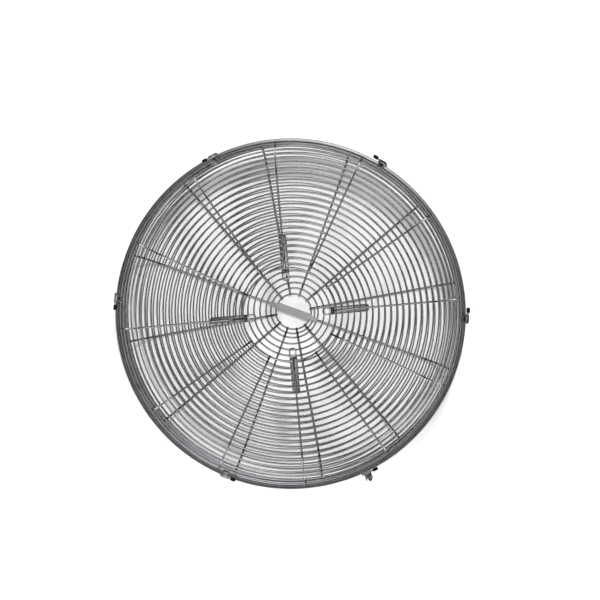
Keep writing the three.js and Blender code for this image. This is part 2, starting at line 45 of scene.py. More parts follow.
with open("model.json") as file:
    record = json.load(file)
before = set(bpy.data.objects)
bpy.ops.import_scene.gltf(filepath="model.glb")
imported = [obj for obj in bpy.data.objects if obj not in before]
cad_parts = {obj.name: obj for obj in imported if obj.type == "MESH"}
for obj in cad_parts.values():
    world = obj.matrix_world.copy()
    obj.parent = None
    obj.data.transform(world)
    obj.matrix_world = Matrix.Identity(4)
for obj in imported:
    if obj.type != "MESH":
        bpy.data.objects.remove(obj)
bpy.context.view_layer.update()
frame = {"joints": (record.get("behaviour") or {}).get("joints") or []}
JOINTS = {joint["child"]: joint for joint in frame["joints"]}
CLIP_OPEN_ANGLE = math.radians(190)
FULL_TURN = 2 * math.pi
QUARTER_TURN = math.pi / 2

HOOP_LOW, HOOP_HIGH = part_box("rim_hoop")
REAR_ROD_LOW, REAR_ROD_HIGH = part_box("rear_rim_rod")
FRONT_ROD_LOW, FRONT_ROD_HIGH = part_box("front_rim_rod")
REAR_RING_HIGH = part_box("rear_centre_ring")[1]
BAR_LOW, BAR_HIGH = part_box("badge_bar")

# Small sizes, in metres, that stay as they are when the sizes in the panel change

CLEARANCE = 0.0003
BEHIND_WALL = 0.0006

WELD_SINK = 0.0001
WELD_OUTWARD, WELD_AROUND, WELD_UP = 0.0022, 0.0024, 0.0016
WELD_FULLNESS = 0.94
STRAIGHT_END = 0.03
PAST_ROD = 0.001
SPIRAL_SHORT_OF_ROD = 0.0055

HOOP_EDGE = 0.0005
KNEE_BEND = 0.0025

STRAP_EDGE = 0.0004
STRAP_BEND = 0.0022
STRAP_CORNER = 0.003
LEAST_HALF_SQUARED = 1e-7

BAR_EDGE = 0.00035
TONGUE_STEP = 0.003

SHEET_EDGE = 0.0003
BRACKET_GAP = 0.0002
BRACKET_HALF = 0.011
BRACKET_TOP = 0.0045
BRACKET_CORNER = 0.002
EAR_SHEET = 0.0012
EAR_EDGE = 0.00025
EAR_LOW, EAR_HIGH = -0.0055, 0.0042
RIVET_ASIDE, RIVET_DOWN = 0.005, 0.008
RIVET_DOME = 0.001
HEAD_RADIUS = 0.0021
EYE_WALL = 0.0014
EYE_EDGE = 0.0002

ARCH_FOOT = 0.001
ARCH_BEND = 0.0016
CATCH_LAP = 0.0004
CATCH_BEND = 0.0009
STEM_WIDTH = 0.003
STEM_LAP, STEM_REACH = 0.001, 0.009
BLADE_OVER_WIRE = 0.001
BLADE_DRILL = 0.012
STRAP_DRILL = 0.03
GRIP_CORNER = 0.0021
GRIP_BELOW_STEM = 0.0015

# Distances from a grip's end, and from its parting line, with the share of its full section there

GRIP_END_SHARES = [(0, 0.55), (0.00035, 0.8), (0.0011, 0.96), (0.002, 1)]
PARTING_LINE_SHARES = [(-0.0002, 1), (-0.0001, 1.03), (0.0001, 1.03), (0.0002, 1)]

# Distances from an ear to places on a pin's head, with the share of the head's radius there

HEAD_SHARES = [(0, 1), (0.0006, 0.95), (0.0009, 0.6)]

# Steps round the axis, points of a radial on its bend, sides of a drill, and the sides that a rod or
# radial has more than the thinner wound wire

FRONT_RING_STEPS, REAR_RING_STEPS, RIM_STEPS, HOOP_STEPS = 96, 144, 192, 288
FRONT_BEND_POINTS, REAR_BEND_POINTS = 24, 22
DRILL_SIDES = 32
MORE_SIDES = 2

# Angles under which a crease is shaded smooth

SHEET_SMOOTH = math.radians(40)
HOOP_SMOOTH = math.radians(50)
GRIP_SMOOTH = math.radians(60)

# Studio: places in metres, angles in degrees, and strengths where 1 is white

FLOOR_HALF = 6
FLOOR_DROP = 0.0002
# Where the floor's own glow steps from weak under the cage to strong round it: painted shade under the
# cage, and painted light round it that washes out the cage's shadow there
PAINTED_SHADE_EDGE_FROM, PAINTED_SHADE_EDGE_TO = -0.03, 0.02
# A black sheet over the floor, seen only in the metal's reflections: a painted dark reflection
PAINTED_REFLECTION_FROM, PAINTED_REFLECTION_TO, PAINTED_REFLECTION_RISE = 0.02, 0.8, 0.0002
PAINTED_REFLECTION_BLACK = (0.012, 0.012, 0.012, 1)
OVERHEAD_PANEL = {"toward": (0, 0, 1), "inner": 8, "outer": 15, "strength": 1.4}
WINDOW = {"toward": (-0.35, -1, 1.1), "inner": 8, "outer": 24, "strength": 1.9}
HORIZON_HEIGHT, HORIZON_STRENGTH = 0.1, 0.4
ROOM_STRENGTH = 0.03
LAMPS = {
    "top_lamp": {"place": (0.93, 2.85, 5.2), "size": 0.8, "share": 1},
    "overhead_lamp": {"place": (0.1, 0.35, 3.2), "size": 0.9, "share": 0.1},
}
LAMP_TARGET = (0, 0, 0.05)
CAMERA_REACH = 100


# Sizes and finishes


def number(name, description, default, **options):
    return FloatProperty(name=name, description=description, default=default, **options)


def length(name, description, default):
    return number(name, description, default, unit="LENGTH", precision=5)


def angle(name, description, degrees):
    return number(name, description, math.radians(degrees), subtype="ANGLE", unit="ROTATION")


def count(name, description, default):
    return IntProperty(name=name, description=description, default=default, min=1)


def colour(name, description, default):
    return FloatVectorProperty(
        name=name, description=description, default=default, size=4, subtype="COLOR", min=0, max=1
    )


class CAGE_PG_wires(bpy.types.PropertyGroup):
    """Sizes of the wound wires, radials, rings and rods"""

    spiral_wire: length("Spiral wire", "Thickness of the wound wire", 0.0028)
    radial_wire: length("Radial wire", "Thickness of the radials", 0.0035)
    rim_rod: length("Rim rod", "Thickness of the rods round the rims", 0.004)
    front_ring_wire: length("Front ring wire", "Thickness of the small ring", 0.0028)
    rear_ring_wire: length("Rear ring wire", "Thickness of the ring round the motor", 0.0035)
    pitch: length("Pitch", "Distance from one turn to the next", 0.0114)
    shoulder: length("Shoulder", "Radius of the bend from face to side", 0.065)
    radials: count("Radials", "Radials in each guard", 12)
    front_angle: angle("Front radials", "Place of the first front radial", 10.3)
    front_ring: length("Front ring", "Radius of the small ring", 0.0332)
    front_start: length("Front start", "Where the front spiral starts", 0.0392)
    front_first_pitch: length("First pitch", "Pitch of the first front turn", 0.0065)
    front_wall: length("Front wall", "Radius of the front guard's side wall", 0.3145)
    rear_angle: angle("Rear radials", "Place of the first rear radial", 5.2)
    rear_ring: length("Rear ring", "Radius of the ring round the motor", 0.086)
    rear_start: length("Rear start", "Where the rear spiral starts", 0.0896)
    rear_start_turn: angle("Rear start turn", "Angle at which the rear spiral starts", -114.8)
    rear_dish: length("Rear dish", "Depth from the rear face to the rear rod", 0.046)
    rear_rim: length("Rear rim", "Radius of the rear shoulder at the rod", 0.3152)
    radial_inside: length("Radial end", "How far a radial ends inside its ring", 0.0013)
    smooth_steps: count("Smooth steps", "Steps in one turn of a wound wire", 96)
    wire_sides: count("Wire sides", "Sides of a wire's section", 10)


class CAGE_PG_finishes(bpy.types.PropertyGroup):
    """Colours of the metals and the plastic"""

    wire: colour("Wire", "Bright plated wire", (0.79, 0.80, 0.82, 1))
    hoop: colour("Hoop", "Rolled plated strip", (0.9, 0.905, 0.91, 1))
    pressed: colour("Pressed steel", "Straps, brackets and hooks", (0.70, 0.705, 0.71, 1))
    bar: colour("Bar", "Satin bar for a badge", (0.62, 0.62, 0.62, 1))
    plastic: colour("Plastic", "Moulded black grips", (0.008, 0.008, 0.009, 1))


class CAGE_PG_sheet_parts(bpy.types.PropertyGroup):
    """Sizes of the hoop, straps, bar and clips"""

    hoop_wall: length("Hoop wall", "Thickness of the hoop", 0.0015)
    flare_run: length("Flare", "How far the hoop's edge flares out", 0.0057)
    lip_slope: angle("Lip slope", "Slope of the flare at its lip", 19)
    knee_run: length("Knee", "Radial run of the flare's steep part", 0.0013)
    bead_reach: length("Bead", "How far the bead reaches inside the rod's middle", 0.0019)
    strap_width: length("Strap width", "Width of a motor strap", 0.014)
    strap_sheet: length("Strap sheet", "Thickness of a motor strap", 0.0025)
    strap_end: length("Strap end", "Radius at which a strap ends", 0.147)
    tab_end: length("Tab end", "Radius at which a tab ends", 0.061)
    tab_rise: length("Tab rise", "How far a tab stands over its strap", 0.009)
    tab_slope: length("Tab slope", "Radial run of the slope to a tab", 0.004)
    tab_hole_at: length("Bolt circle", "Radius of the circle of the bolt holes", 0.0695)
    tab_hole: length("Bolt hole", "Diameter of a bolt hole", 0.0086)
    bar_length: length("Bar length", "Length of the bar with its tongues", 0.098)
    bar_wide: length("Bar body", "Length of the bar's wide part", 0.06)
    bar_width: length("Bar width", "Width of the bar's wide part", 0.014)
    tongue_width: length("Tongue width", "Width of a tongue", 0.008)
    bar_angle: angle("Bar angle", "Direction of the bar", 160.3)
    clip_sheet: length("Clip sheet", "Thickness of the clips", 0.0015)
    hook_width: length("Hook width", "Width of a hook", 0.014)
    arch_width: length("Arch width", "Radial run over the hoop's edge", 0.0045)
    arch_over_flare: length("Arch over flare", "Height of the arch over the hoop's edge", 0.0028)
    blade_root: length("Blade root", "Width of the blade where it is bent up", 0.008)
    blade_tip: length("Blade tip", "Width of the blade's round tip", 0.006)
    blade_length: length("Blade length", "Length of the blade", 0.019)
    blade_hole: length("Blade hole", "Diameter of the hole in the blade", 0.0032)
    blade_hole_at: length("Blade hole place", "From the blade's root to its hole", 0.0107)
    catch_width: length("Catch width", "Width of a catch", 0.0025)
    catch_reach: length("Catch reach", "How far a catch goes behind the rod", 0.0016)
    pin: length("Pin", "Diameter of a pin", 0.0024)
    grip_length: length("Grip length", "Length of a grip", 0.010)
    grip_height: length("Grip height", "Height of a grip", 0.011)
    grip_thickness: length("Grip thickness", "Thickness of a grip", 0.0056)


class CAGE_PG_stage(bpy.types.PropertyGroup):
    """Camera, floor and lamps"""

    photo_side: count("Picture side", "Pixels across the picture", 600)
    hoop_pixels: number("Hoop", "Pixels across the hoop", 351.5)
    hoop_x: number("Hoop x", "Pixels from the left to the hoop's middle", 290.3)
    hoop_y: number("Hoop y", "Pixels from the top to the hoop's middle", 313.8)
    distance: length("Distance", "From the camera to the hoop", 8.9)
    lean_right: angle("Lean right", "Camera's lean to the right of the fan's axis", 2.5)
    lean_up: angle("Lean up", "Camera's lean to the top of the picture", 1.7)
    lamp_power: number("Lamp", "Power of the main lamp", 275, subtype="POWER")
    floor: colour("Floor", "Plain pale floor", (0.86, 0.86, 0.86, 1))
    # The floor's own glow is weaker under the cage than round it: painted shade under the cage, and
    # painted light round it that washes out the cage's shadow
    glow_under: number("Glow under", "Floor's own white under the cage", 0.16)
    glow_round: number("Glow round", "Floor's own white round the cage", 0.75)


# Mesh helpers


def make_object(name, vertices, faces, material, smooth_angle=None):
    mesh = bpy.data.meshes.new(name)
    mesh.from_pydata([tuple(v) for v in vertices], [], faces)
    mesh.validate()
    mesh.materials.append(material)
    piece = bpy.data.objects.new(name, mesh)
    bpy.context.scene.collection.objects.link(piece)
    mesh.shade_smooth()
    if smooth_angle is not None:
        mesh.set_sharp_from_angle(angle=smooth_angle)
    return piece


def pressing(name, part):
    return make_object(name, *part, finish(pressed_steel), SHEET_SMOOTH)


def dress(piece, node, body):
    """piece stands for the CAD node, which it hides, and rides on its body"""
    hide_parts(node)
    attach(piece, body)


def circle(steps):
    return np.arange(steps) / steps * FULL_TURN


def round_section(radius, sides):
    turns = (np.arange(sides) + 0.5) / sides * FULL_TURN
    return np.stack([radius * np.cos(turns), radius * np.sin(turns)], axis=1)


def half_circle(x, radius, points=13):
    """The right half of a circle in 2-D, from its foot up"""
    return [(x + radius * math.cos(t), radius * math.sin(t))
            for t in np.linspace(-QUARTER_TURN, QUARTER_TURN, points)]


def ring_round_pin(radius, y, steps):
    around = circle(steps)
    return np.stack([radius * np.sin(around), np.full(steps, y), radius * np.cos(around)], axis=1)


def between(rings, sides, closed):
    """Faces between each ring of points and the next, and from the last to the first if closed"""
    faces = []
    for i in range(rings if closed else rings - 1):
        here = i * sides
        after = ((i + 1) % rings) * sides
        for j in range(sides):
            k = (j + 1) % sides
            faces.append((here + j, here + k, after + k, after + j))
    return faces


def end_faces(rings, sides):
    return [tuple(reversed(range(sides))), tuple(range((rings - 1) * sides, rings * sides))]


def stacked(rings):
    """A closed skin over rings of equal counts"""
    count, sides = len(rings), len(rings[0])
    return np.concatenate(rings), end_faces(count, sides) + between(count, sides, False)


def sweep(centres, across, up, sections, closed):
    """A skin over sections. A direction or section given once holds for every centre."""
    across, up = (np.broadcast_to(way, centres.shape)[:, None] for way in (across, up))
    rings, sides = len(centres), np.shape(sections)[-2]
    sections = np.broadcast_to(sections, (rings, sides, 2))
    points = centres[:, None] + across * sections[:, :, :1] + up * sections[:, :, 1:]
    faces = between(rings, sides, closed)
    if not closed:
        faces += end_faces(rings, sides)
    return points.reshape(-1, 3), faces


def straight_bar(section, start, end, across, up):
    return sweep(np.array([start, end]), across, up, section, False)


def wire_along(centres, across, up, wire, sides, rounded_share=0.3):
    """A round wire with slightly rounded cut ends"""
    doubled_ends = [0, *range(len(centres)), -1]
    centres, across, up = (line[doubled_ends] for line in (centres, across, up))
    for end, inside, next_one in ((0, 1, 2), (-1, -2, -3)):
        outward = centres[end] - centres[next_one]
        centres[inside] -= outward / np.linalg.norm(outward) * (wire / 2 * rounded_share)
    sections = np.repeat(round_section(wire / 2, sides)[None], len(centres), axis=0)
    sections[[0, -1]] *= 1 - rounded_share
    return sweep(centres, across, up, sections, False)


def lathe(profile, steps):
    """A closed profile, in radius and height, turned round the fan's axis"""
    turns = -circle(steps)
    out = np.stack([np.cos(turns), np.sin(turns), np.zeros(steps)], axis=1)
    return sweep(np.zeros((steps, 3)), out, (0.0, 0.0, 1.0), profile, True)


def filleted(points, radius, pieces, closed=True, longest_share=0.45):
    """A line of 2-D points with each corner turned into a small arc"""
    points = [Vector(p) for p in points]
    result = []
    for i, corner in enumerate(points):
        if not closed and i in (0, len(points) - 1):
            result.append(corner)
            continue
        before = points[i - 1] - corner
        after = points[(i + 1) % len(points)] - corner
        turn = before.angle(after)
        longest = longest_share * min(before.length, after.length)
        reach = min(radius / math.tan(turn / 2), longest)
        start = corner + before.normalized() * reach
        end = corner + after.normalized() * reach
        for k in range(pieces + 1):
            share = k / pieces
            result.append(start * (1 - share) ** 2 + corner * 2 * share * (1 - share) + end * share**2)
    return result


def rectangle(half_x, half_y):
    return [(-half_x, -half_y), (half_x, -half_y), (half_x, half_y), (-half_x, half_y)]


def soft_rectangle(width, thickness, edge, pieces=2):
    """Section with rounded edges, across and through"""
    return np.array([tuple(p) for p in filleted(rectangle(width / 2, thickness / 2), edge, pieces)])


def bent_sheet(line, widths, thickness, edge=SHEET_EDGE, thin_end_share=0.6):
    """A sheet bent along a line in X and Z, with one width in Y or its own at each point"""
    line = np.array([tuple(p) for p in line], float)
    along = np.gradient(line, axis=0)
    along /= np.linalg.norm(along, axis=1)[:, None]
    centres = np.stack([line[:, 0], np.zeros(len(line)), line[:, 1]], axis=1)
    up = np.stack([-along[:, 1], np.zeros(len(line)), along[:, 0]], axis=1)
    widths = np.broadcast_to(widths, len(line))
    sections = np.stack([soft_rectangle(float(width), thickness, edge) for width in widths])
    sections[[0, -1], :, 1] *= thin_end_share
    return turned_over(sweep(centres, (0.0, 1.0, 0.0), up, sections, False))


def plate(outline, thickness, edge):
    """A flat plate in X and Y with softened edges, from height zero up"""
    points = np.array([tuple(p) for p in outline], float)
    tangent = np.roll(points, -1, axis=0) - np.roll(points, 1, axis=0)
    tangent /= np.linalg.norm(tangent, axis=1)[:, None]
    inward = np.stack([-tangent[:, 1], tangent[:, 0]], axis=1)
    levels = ((0, edge), (edge, 0), (thickness - edge, 0), (thickness, edge))
    return stacked([
        np.column_stack([points + inward * inset, np.full(len(points), height)])
        for height, inset in levels
    ])


def merge(parts):
    """Several (vertices, faces) pairs as one"""
    vertices, faces, start = [], [], 0
    for part_vertices, part_faces in parts:
        vertices.append(np.asarray(part_vertices))
        faces += [tuple(start + i for i in face) for face in part_faces]
        start += len(part_vertices)
    return np.concatenate(vertices), faces


def turned_over(part):
    """The same skin with its faces looking the other way"""
    return part[0], [tuple(reversed(face)) for face in part[1]]


def moved(part, matrix):
    vertices, faces = part
    return np.asarray(vertices) @ np.array(matrix.to_3x3()).T + np.array(matrix.translation), faces


def turned(axis):
    """A quarter turn about that axis"""
    return Matrix.Rotation(QUARTER_TURN, 4, axis)


def drilled(piece, radius, place, direction, depth):
    """Cuts a round hole of that radius through piece"""
    side = direction.orthogonal().normalized()
    half = direction * depth / 2
    section = round_section(radius, DRILL_SIDES)
    hole = straight_bar(section, place - half, place + half, side, direction.cross(side))
    drill = make_object("drill", *hole, piece.data.materials[0])
    cut = piece.modifiers.new("hole", "BOOLEAN")
    cut.object = drill
    cut.solver = "EXACT"
    bpy.context.view_layer.update()
    evaluated = piece.evaluated_get(bpy.context.evaluated_depsgraph_get())
    mesh = bpy.data.meshes.new_from_object(evaluated)
    piece.modifiers.clear()
    piece.data = mesh
    mesh.shade_smooth()
    mesh.set_sharp_from_angle(angle=SHEET_SMOOTH)
    bpy.data.objects.remove(drill)


# Finishes


def add_node(tree, kind, *first, settings=None, **named):
    """A shader node. first fills its first inputs, and named fills those named so, with _ for a
    space. A socket is linked and anything else is set."""
    node = tree.nodes.new("ShaderNode" + kind)
    for name, value in (settings or {}).items():
        setattr(node, name, value)
    filled = list(zip(node.inputs, first))
    filled += [(node.inputs[name.replace("_", " ")], value) for name, value in named.items()]
    for socket, value in filled:
        if isinstance(value, bpy.types.NodeSocket):
            tree.links.new(value, socket)
        else:
            socket.default_value = value
    return node


def math_node(tree, operation, *values):
    return add_node(tree, "Math", *values, settings={"operation": operation}).outputs[0]


def smooth_step(tree, value, low, high, **to):
    """value's place between low and high, eased at both ends, given from To_Min to To_Max"""
    settings = {"interpolation_type": "SMOOTHSTEP"}
    step = add_node(tree, "MapRange", settings=settings, Value=value, From_Min=low, From_Max=high, **to)
    return step.outputs["Result"]


def object_point(tree):
    return add_node(tree, "TexCoord").outputs["Object"]


def noise(tree, vector, scale, detail):
    return add_node(tree, "TexNoise", Vector=vector, Scale=scale, Detail=detail).outputs["Fac"]


def stretched(tree, vector, scale):
    return add_node(tree, "Mapping", Vector=vector, Scale=scale).outputs[0]


def round_the_axis(tree, along, through):
    """A point stretched so that noise on it runs round the fan's axis, as rolling marks do"""
    split = add_node(tree, "SeparateXYZ", object_point(tree)).outputs
    squares = [math_node(tree, "MULTIPLY", split[i], split[i]) for i in (0, 1)]
    radius = math_node(tree, "SQRT", math_node(tree, "ADD", *squares))
    turn = math_node(tree, "ARCTAN2", split[1], split[0])
    return add_node(
        tree, "CombineXYZ",
        math_node(tree, "MULTIPLY", radius, through),
        math_node(tree, "MULTIPLY", turn, along),
        math_node(tree, "MULTIPLY", split[2], through),
    ).outputs[0]


class Finish:
    """A material whose colour clouds over to a darker share of its base"""

    prefix = "cage_"
    middle_noise = (0.3, 0.7)
    middle_cloud = (0.35, 0.65)

    def __init__(self, name, base, metallic, darker, scale, detail):
        self.material = bpy.data.materials.new(self.prefix + name)
        self.material.use_nodes = True
        self.tree = self.material.node_tree
        self.shader = self.tree.nodes["Principled BSDF"].inputs
        self.shader["Metallic"].default_value = metallic
        self.point = object_point(self.tree)
        self.cloud = noise(self.tree, self.point, scale, detail)
        ramp = add_node(self.tree, "ValToRGB", Fac=self.cloud)
        colours = ([channel * darker for channel in base[:3]] + [1], base)
        for element, position, shade in zip(ramp.color_ramp.elements, self.middle_cloud, colours):
            element.position = position
            element.color = shade
        self.tree.links.new(ramp.outputs["Color"], self.shader["Base Color"])

    def roughened(self, marks, low, high):
        """Roughness from low to high with marks"""
        start, end = self.middle_noise
        level = add_node(
            self.tree, "MapRange", Value=marks, From_Min=start, From_Max=end, To_Min=low, To_Max=high
        )
        self.tree.links.new(level.outputs["Result"], self.shader["Roughness"])

    def bumped(self, marks, strength, distance):
        bump = add_node(self.tree, "Bump", Strength=strength, Distance=distance, Height=marks)
        self.tree.links.new(bump.outputs["Normal"], self.shader["Normal"])


def bright_wire():
    """Plated drawn wire: a mirror with faint clouding and the ripple of the plating"""
    base = bpy.context.scene.cage_finishes.wire
    wire = Finish("bright_wire", base, metallic=1, darker=0.9, scale=38, detail=3)
    wire.roughened(wire.cloud, low=0.07, high=0.2)
    ripple = noise(wire.tree, wire.point, scale=900, detail=4)
    wire.bumped(ripple, strength=0.12, distance=0.0002)
    return wire.material


def rolled_strip():
    """Plated strip with fine rolling marks round the hoop"""
    base = bpy.context.scene.cage_finishes.hoop
    hoop = Finish("rolled_strip", base, metallic=1, darker=0.93, scale=22, detail=3)
    marks = noise(hoop.tree, round_the_axis(hoop.tree, along=6, through=2600), scale=1, detail=2)
    hoop.roughened(marks, low=0.2, high=0.38)
    hoop.bumped(marks, strength=0.1, distance=0.0003)
    return hoop.material


def pressed_steel():
    """Plated pressings, finely brushed"""
    base = bpy.context.scene.cage_finishes.pressed
    steel = Finish("pressed_steel", base, metallic=1, darker=0.9, scale=60, detail=4)
    point = stretched(steel.tree, steel.point, (2200, 160, 160))
    brushing = noise(steel.tree, point, scale=1, detail=3)
    steel.roughened(brushing, low=0.18, high=0.36)
    steel.bumped(brushing, strength=0.08, distance=0.0002)
    return steel.material


def satin_bar():
    """Satin strip with brushing along its length"""
    scene = bpy.context.scene
    bar = Finish("satin_bar", scene.cage_finishes.bar, metallic=0.5, darker=0.92, scale=70, detail=3)
    along_x = (0, 0, -scene.cage_sheet_parts.bar_angle)
    point = add_node(bar.tree, "Mapping", Vector=bar.point, Rotation=along_x).outputs[0]
    brushing = noise(bar.tree, stretched(bar.tree, point, (60, 2400, 400)), scale=1, detail=3)
    bar.roughened(brushing, low=0.36, high=0.55)
    bar.bumped(brushing, strength=0.12, distance=0.0002)
    return bar.material


def black_plastic():
    """Moulded plastic with a fine spark-eroded grain and rubbed patches, paler than its colour"""
    paler = 1.8
    rubbed = [channel * paler for channel in bpy.context.scene.cage_finishes.plastic[:3]] + [1]
    plastic = Finish("black_plastic", rubbed, metallic=0, darker=0.5, scale=180, detail=4)
    plastic.shader["Specular IOR Level"].default_value = 0.08
    plastic.roughened(plastic.cloud, low=0.34, high=0.56)
    grain = noise(plastic.tree, plastic.point, scale=1800, detail=3)
    plastic.bumped(grain, strength=0.35, distance=0.0002)
    return plastic.material


def finish(maker):
    """The material of that maker, made once. The solids' plain materials lack its prefix."""
    return bpy.data.materials.get(Finish.prefix + maker.__name__) or maker()


# The guards' form: distance runs along the face, the shoulder and the wall


class Guard:
    """Side view of a guard. side is 1 where it turns up at its shoulder and -1 where down."""

    def __init__(self, side, height, flat, shoulder):
        self.side = side
        self.height = height
        self.flat = flat
        self.shoulder = shoulder

    def at(self, distance, lift=0.0):
        """Radius, height and slope of points at distances, lifted off the wires to the motor side"""
        distance = np.asarray(distance, float)
        bend = np.clip((distance - self.flat) / self.shoulder, 0, QUARTER_TURN)
        wall = np.maximum(distance - self.flat - self.shoulder * QUARTER_TURN, 0)
        reach = self.shoulder - self.side * lift
        radius = np.minimum(distance, self.flat) + reach * np.sin(bend)
        height = self.height + self.side * (self.shoulder - reach * np.cos(bend) + wall)
        return radius, height, self.side * bend


def front_guard():
    wires = bpy.context.scene.cage_wires
    return Guard(1, wires.spiral_wire / 2, wires.front_wall - wires.shoulder, wires.shoulder)


def rear_slope_at_rod(wires):
    return math.acos((wires.shoulder - wires.rear_dish) / wires.shoulder)


def rear_guard():
    wires = bpy.context.scene.cage_wires
    height = (REAR_ROD_LOW.z + REAR_ROD_HIGH.z) / 2 + wires.rear_dish
    flat = wires.rear_rim - wires.shoulder * math.sin(rear_slope_at_rod(wires))
    return Guard(-1, height, flat, wires.shoulder)


def stations(radius, height, slope, turn):
    """Centres and section directions at those places round the fan's axis"""
    turn = np.broadcast_to(turn, radius.shape)
    out = np.stack([np.cos(turn), np.sin(turn), np.zeros_like(radius)], axis=1)
    centres = out * radius[:, None]
    centres[:, 2] = height
    across = out * np.cos(slope)[:, None]
    across[:, 2] = np.sin(slope)
    up = out * -np.sin(slope)[:, None]
    up[:, 2] = np.cos(slope)
    return centres, across, up


class Winding:
    """The wound wire of a guard, which leaves the centre clockwise and ends at the distance end"""

    def __init__(self, start, first_pitch, start_turn, end):
        self.start = start
        self.first_pitch = first_pitch
        self.start_turn = start_turn
        self.pitch = bpy.context.scene.cage_wires.pitch
        self.turns_needed = 1 + (end - start - first_pitch) / self.pitch

    def at(self, first, step):
        """Distances and turns along the wire, from that number of turns on and step turns apart"""
        turns = np.arange(first, self.turns_needed, step)
        later = np.maximum(turns - 1, 0)
        distance = self.start + self.first_pitch * np.minimum(turns, 1) + self.pitch * later
        return distance, self.start_turn - turns * FULL_TURN

    def crossings(self, first_radial, radials, barely=1e-6):
        """Distances and turns at which the wire passes under each radial"""
        share = (self.start_turn - first_radial) / FULL_TURN * radials
        return self.at((share - math.floor(share + barely)) / radials, 1 / radials)


def wire_piece(name, part, node):
    dress(make_object(name, *part, finish(bright_wire)), node, "cage")


def spiral(guard, winding, name, node):
    wires = bpy.context.scene.cage_wires
    distance, turn = winding.at(0, 1 / wires.smooth_steps)
    part = wire_along(*stations(*guard.at(distance), turn), wires.spiral_wire, wires.wire_sides)
    wire_piece(name, part, node)


def ring(radius, height, wire, name, node, steps):
    sides = bpy.context.scene.cage_wires.wire_sides + MORE_SIDES
    wire_piece(name, lathe(round_section(wire / 2, sides) + np.array([radius, height]), steps), node)


def rim_rod(side, low, high):
    wire = bpy.context.scene.cage_wires.rim_rod
    ring(high.x - wire / 2, (low.z + high.z) / 2, wire, f"{side}_rim", f"{side}_rim_rod", RIM_STEPS)


def radial_lift(wires):
    return (wires.spiral_wire + wires.radial_wire) / 2 - WELD_SINK


def radial_start(wires, ring_radius, ring_wire):
    return ring_radius - ring_wire / 2 - wires.radial_inside


def radial_distances(guard, first, bent):
    """Points of a radial: few on the flat, then those on the bend"""
    return np.concatenate([[first, first + STRAIGHT_END, guard.flat - STRAIGHT_END], bent])


def radial_wire(guard, distances, turn, name, node):
    """A radial: a thicker wire over the wound one, in the plane of its own angle"""
    wires = bpy.context.scene.cage_wires
    radius, height, slope = guard.at(distances, radial_lift(wires))
    centres, _, up = stations(radius, height, slope, turn)
    aside = np.tile([-math.sin(turn), math.cos(turn), 0.0], (len(centres), 1))
    sides = wires.wire_sides + MORE_SIDES
    wire_piece(name, wire_along(centres, aside, up, wires.radial_wire, sides), node)


def weld(guard, distance, turn, sides=8, rows=4):
    """A small flattened bead of weld where a radial crosses the wound wire"""
    wires = bpy.context.scene.cage_wires
    middle = (wires.spiral_wire + wires.radial_wire) / 4
    centre, across, up = stations(*guard.at(np.array([distance]), middle), turn)
    aside = np.cross(up, across)
    around = circle(sides)
    rings = []
    for row in range(rows):
        tilt = (row / (rows - 1) - 0.5) * math.pi * WELD_FULLNESS
        size = math.cos(tilt)
        rings.append(
            centre
            + across * (WELD_OUTWARD * size * np.cos(around))[:, None]
            + aside * (WELD_AROUND * size * np.sin(around))[:, None]
            + up * (WELD_UP * math.sin(tilt))
        )
    return stacked(rings)


def radials_and_welds(side, guard, distances, winding, first_radial):
    radials = bpy.context.scene.cage_wires.radials
    for i in range(radials):
        number = f"{i + 1:02d}"
        turn = first_radial + i / radials * FULL_TURN
        radial_wire(guard, distances, turn, f"{side}_spoke_{number}", f"{side}_radial_{number}")
    welds = [weld(guard, *place) for place in zip(*winding.crossings(first_radial, radials))]
    piece = make_object(f"{side}_welds", *merge(welds), finish(bright_wire))
    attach(piece, "cage")


class CAGE_OT_front_guard(bpy.types.Operator):
    """Builds the front guard: spiral, small ring, rim rod, radials and welds"""

    bl_idname = "cage.front_guard"
    bl_label = "Front guard"

    def execute(self, context):
        wires = context.scene.cage_wires
        guard = front_guard()
        wall_start = guard.flat + guard.shoulder * QUARTER_TURN
        wall_foot = guard.height + guard.shoulder
        wall_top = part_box("front_spiral")[1].z - wires.spiral_wire / 2
        end = wall_start + (wall_top - wall_foot)
        winding = Winding(wires.front_start, wires.front_first_pitch, wires.front_angle, end)
        spiral(guard, winding, "front_wound_wire", "front_spiral")
        ring(wires.front_ring, wires.front_ring_wire / 2, wires.front_ring_wire,
             "front_small_ring", "front_centre_ring", FRONT_RING_STEPS)
        rim_rod("front", FRONT_ROD_LOW, FRONT_ROD_HIGH)
        rod_height = (FRONT_ROD_LOW.z + FRONT_ROD_HIGH.z) / 2
        top = wall_start + (rod_height + PAST_ROD - wall_foot)
        first = radial_start(wires, wires.front_ring, wires.front_ring_wire)
        bent = [*np.linspace(guard.flat, wall_start, FRONT_BEND_POINTS), top]
        distances = radial_distances(guard, first, bent)
        radials_and_welds("front", guard, distances, winding, wires.front_angle)
        return {"FINISHED"}


